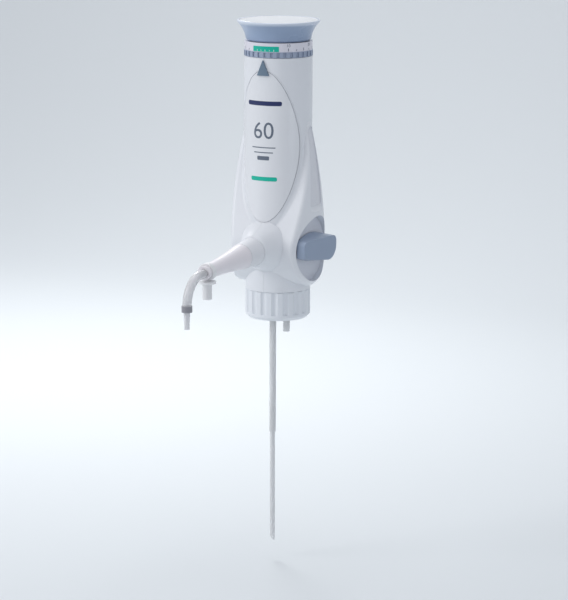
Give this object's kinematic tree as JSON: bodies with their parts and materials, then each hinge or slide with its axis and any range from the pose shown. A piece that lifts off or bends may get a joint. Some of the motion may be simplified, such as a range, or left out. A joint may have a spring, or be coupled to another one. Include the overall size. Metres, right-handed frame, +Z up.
{
  "type": "bottle-top dispenser",
  "caption": "Bottle-top liquid dispenser with a flared plunger knob, volume ring, side valve lever, long angled spout and telescopic intake tube over a threaded collar.",
  "frame": {"origin": "on the bottle's axis, at the plane where the bottle's mouth seats", "axes": "+Z up through the knob, -Y towards the spout, +X towards the valve lever"},
  "size_m": [0.0785, 0.196, 0.4335],
  "materials": {
    "housing_white": "satin moulded, cool white",
    "label_white": "glossy printed plate",
    "pointer_grey": "satin blue-grey",
    "cover_grey": "satin light grey",
    "inlay_grey": "satin light grey",
    "knob_blue": "satin grey-blue",
    "lever_blue": "satin grey-blue",
    "knob_white": "gloss",
    "ring_grey": "knurled, satin",
    "band_white": "printed scale",
    "collar_white": "fluted, satin",
    "block_white": "machined fluoropolymer",
    "fluoropolymer": "translucent natural",
    "sleeve_pink": "translucent, warm grey",
    "clear_tube": "clear tube",
    "tip_dark": "dark grey",
    "seal_dark": "matt",
    "borosilicate": "clear ground bore",
    "ceramic": "polished ceramic",
    "steel": "turned"
  },
  "bodies": {
    "collar": {"thread_collar": "collar_white"},
    "housing": {"housing_right": "housing_white", "housing_left": "housing_white", "label_plate": "label_white", "pointer": "pointer_grey", "side_inlay_right": "inlay_grey", "side_inlay_left": "inlay_grey", "valve_cover": "cover_grey", "left_cover": "cover_grey", "valve_block": "block_white", "bottle_seal": "fluoropolymer", "glass_cylinder": "borosilicate", "cylinder_gasket": "fluoropolymer", "cylinder_head": "block_white", "rod_wiper": "fluoropolymer", "intake_valve": "fluoropolymer", "discharge_seat": "fluoropolymer", "discharge_plug": "block_white", "spindle_bush": "block_white", "intake_tube": "fluoropolymer", "return_tube": "fluoropolymer", "spout_socket": "block_white", "spout_sleeve": "sleeve_pink", "discharge_tube": "clear_tube", "tip_ring": "tip_dark", "nozzle_tip": "clear_tube", "cap_holder": "fluoropolymer"},
    "plunger": {"knob": "knob_blue", "knob_disc": "knob_white", "knob_screw": "steel", "piston_rod": "block_white", "piston": "ceramic", "piston_seals": "fluoropolymer"},
    "volume_ring": {"setting_ring": "ring_grey", "scale_band": "band_white", "cam_sleeve": "block_white"},
    "valve_lever": {"lever": "lever_blue", "valve_spindle": "fluoropolymer", "spindle_seals": "seal_dark"},
    "intake_valve_ball": {"intake_ball": "ceramic"},
    "discharge_valve_ball": {"discharge_ball": "ceramic"},
    "lower_intake_tube": {"intake_tube_lower": "fluoropolymer"},
    "spout_cap": {"closing_cap": "fluoropolymer"}
  },
  "joints": [
    {"name": "swivel_on_bottle", "type": "hinge", "parent": "collar", "child": "housing", "pos_m": [0, 0, 0], "axis": [0, 0, 1], "continuous": true},
    {"name": "plunger_stroke", "type": "slide", "parent": "housing", "child": "plunger", "axis": [0, 0, 1], "range_m": [0, 0.09]},
    {"name": "volume_setting", "type": "hinge", "parent": "housing", "child": "volume_ring", "pos_m": [0, 0, 0.195], "axis": [0, 0, 1], "range_deg": [0, 300]},
    {"name": "valve_turn", "type": "hinge", "parent": "housing", "child": "valve_lever", "pos_m": [0.03, 0, 0.037], "axis": [1, 0, 0], "range_deg": [0, 90]},
    {"name": "intake_ball_lift", "type": "slide", "parent": "housing", "child": "intake_valve_ball", "axis": [0, 0, 1], "range_m": [0, 0.0012]},
    {"name": "discharge_ball_lift", "type": "slide", "parent": "housing", "child": "discharge_valve_ball", "axis": [0, 0, 1], "range_m": [0, 0.0012]},
    {"name": "intake_telescope", "type": "slide", "parent": "housing", "child": "lower_intake_tube", "axis": [0, 0, 1], "range_m": [-0.012, 0.09]},
    {"name": "cap_pull", "type": "slide", "parent": "housing", "child": "spout_cap", "axis": [0, 0, -1], "range_m": [0, 0.02]}
  ]
}
